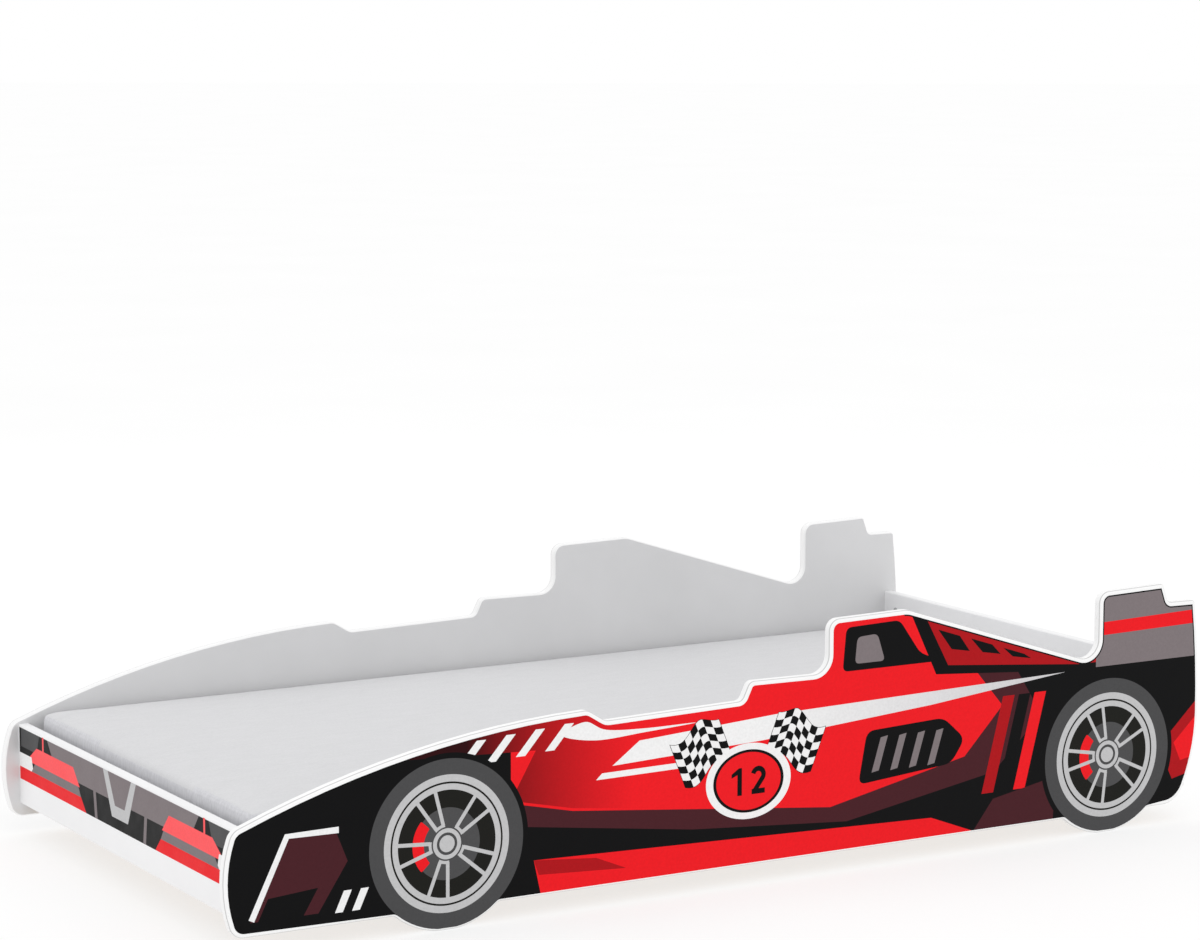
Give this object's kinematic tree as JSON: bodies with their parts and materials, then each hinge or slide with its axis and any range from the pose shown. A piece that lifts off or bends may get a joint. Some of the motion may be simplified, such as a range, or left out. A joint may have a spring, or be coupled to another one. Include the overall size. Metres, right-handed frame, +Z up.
{
  "type": "car bed for children",
  "caption": "children's bed shaped as a racing car: two cut-out printed side boards, nose and tail boards, a slatted base and a foam mattress in a zipped cover",
  "frame": {"origin": "on the floor, under the middle of the bed", "axes": "+Z up, the car's nose points to -X and its tail to +X, the side that faces the viewer in the picture is -Y"},
  "size_m": [1.6805, 0.84, 0.3845],
  "materials": {
    "printed_board": "16 mm fibreboard with a satin printed face in racing red, white edges and a light-grey inside",
    "white_board": "16 mm fibreboard, satin white on all faces",
    "pine": "planed pine, bare",
    "dowel_beech": "fluted beech, bare",
    "webbing": "woven white polyester tape",
    "zinc_steel": "bright zinc-plated steel",
    "cam_zinc": "die-cast zinc, bare",
    "staple_wire": "galvanised wire",
    "foam": "cut polyurethane foam, cream",
    "cover_cloth": "light-grey melange jersey",
    "zip_tape": "woven polyester tape",
    "zip_teeth": "white nylon coil",
    "zip_metal": "nickel-plated steel"
  },
  "bodies": {
    "bed": {"side_panel_near": "printed_board", "side_panel_far": "printed_board", "front_panel": "printed_board", "rear_panel": "white_board", "ledge_near": "pine", "ledge_far": "pine", "webbing_near": "webbing", "webbing_far": "webbing", "slat_01": "pine", "slat_02": "pine", "slat_03": "pine", "slat_04": "pine", "slat_05": "pine", "slat_06": "pine", "slat_07": "pine", "slat_08": "pine", "slat_09": "pine", "slat_10": "pine", "slat_11": "pine", "slat_12": "pine", "slat_13": "pine", "ledge_screws": "zinc_steel", "slat_screws": "zinc_steel", "cam_bolts": "zinc_steel", "cam_discs": "cam_zinc", "dowels": "dowel_beech", "staples": "staple_wire"},
    "mattress": {"mattress_core": "foam", "cover_top": "cover_cloth", "cover_bottom": "cover_cloth", "zip_tape": "zip_tape", "zip_teeth": "zip_teeth"},
    "slider": {"zip_slider": "zip_metal"},
    "tab": {"zip_pull_tab": "zip_metal"}
  },
  "joints": [
    {"name": "mattress_lift", "type": "slide", "parent": "bed", "child": "mattress", "axis": [0, 0, 1], "range_m": [0, 0.45]},
    {"name": "zip_travel", "type": "slide", "parent": "mattress", "child": "slider", "axis": [0, 1, 0], "range_m": [0, 0.7]},
    {"name": "zip_tab_swing", "type": "hinge", "parent": "slider", "child": "tab", "pos_m": [-0.79315, -0.3534, 0.1453], "axis": [1, 0, 0], "range_deg": [-80, 45]}
  ]
}
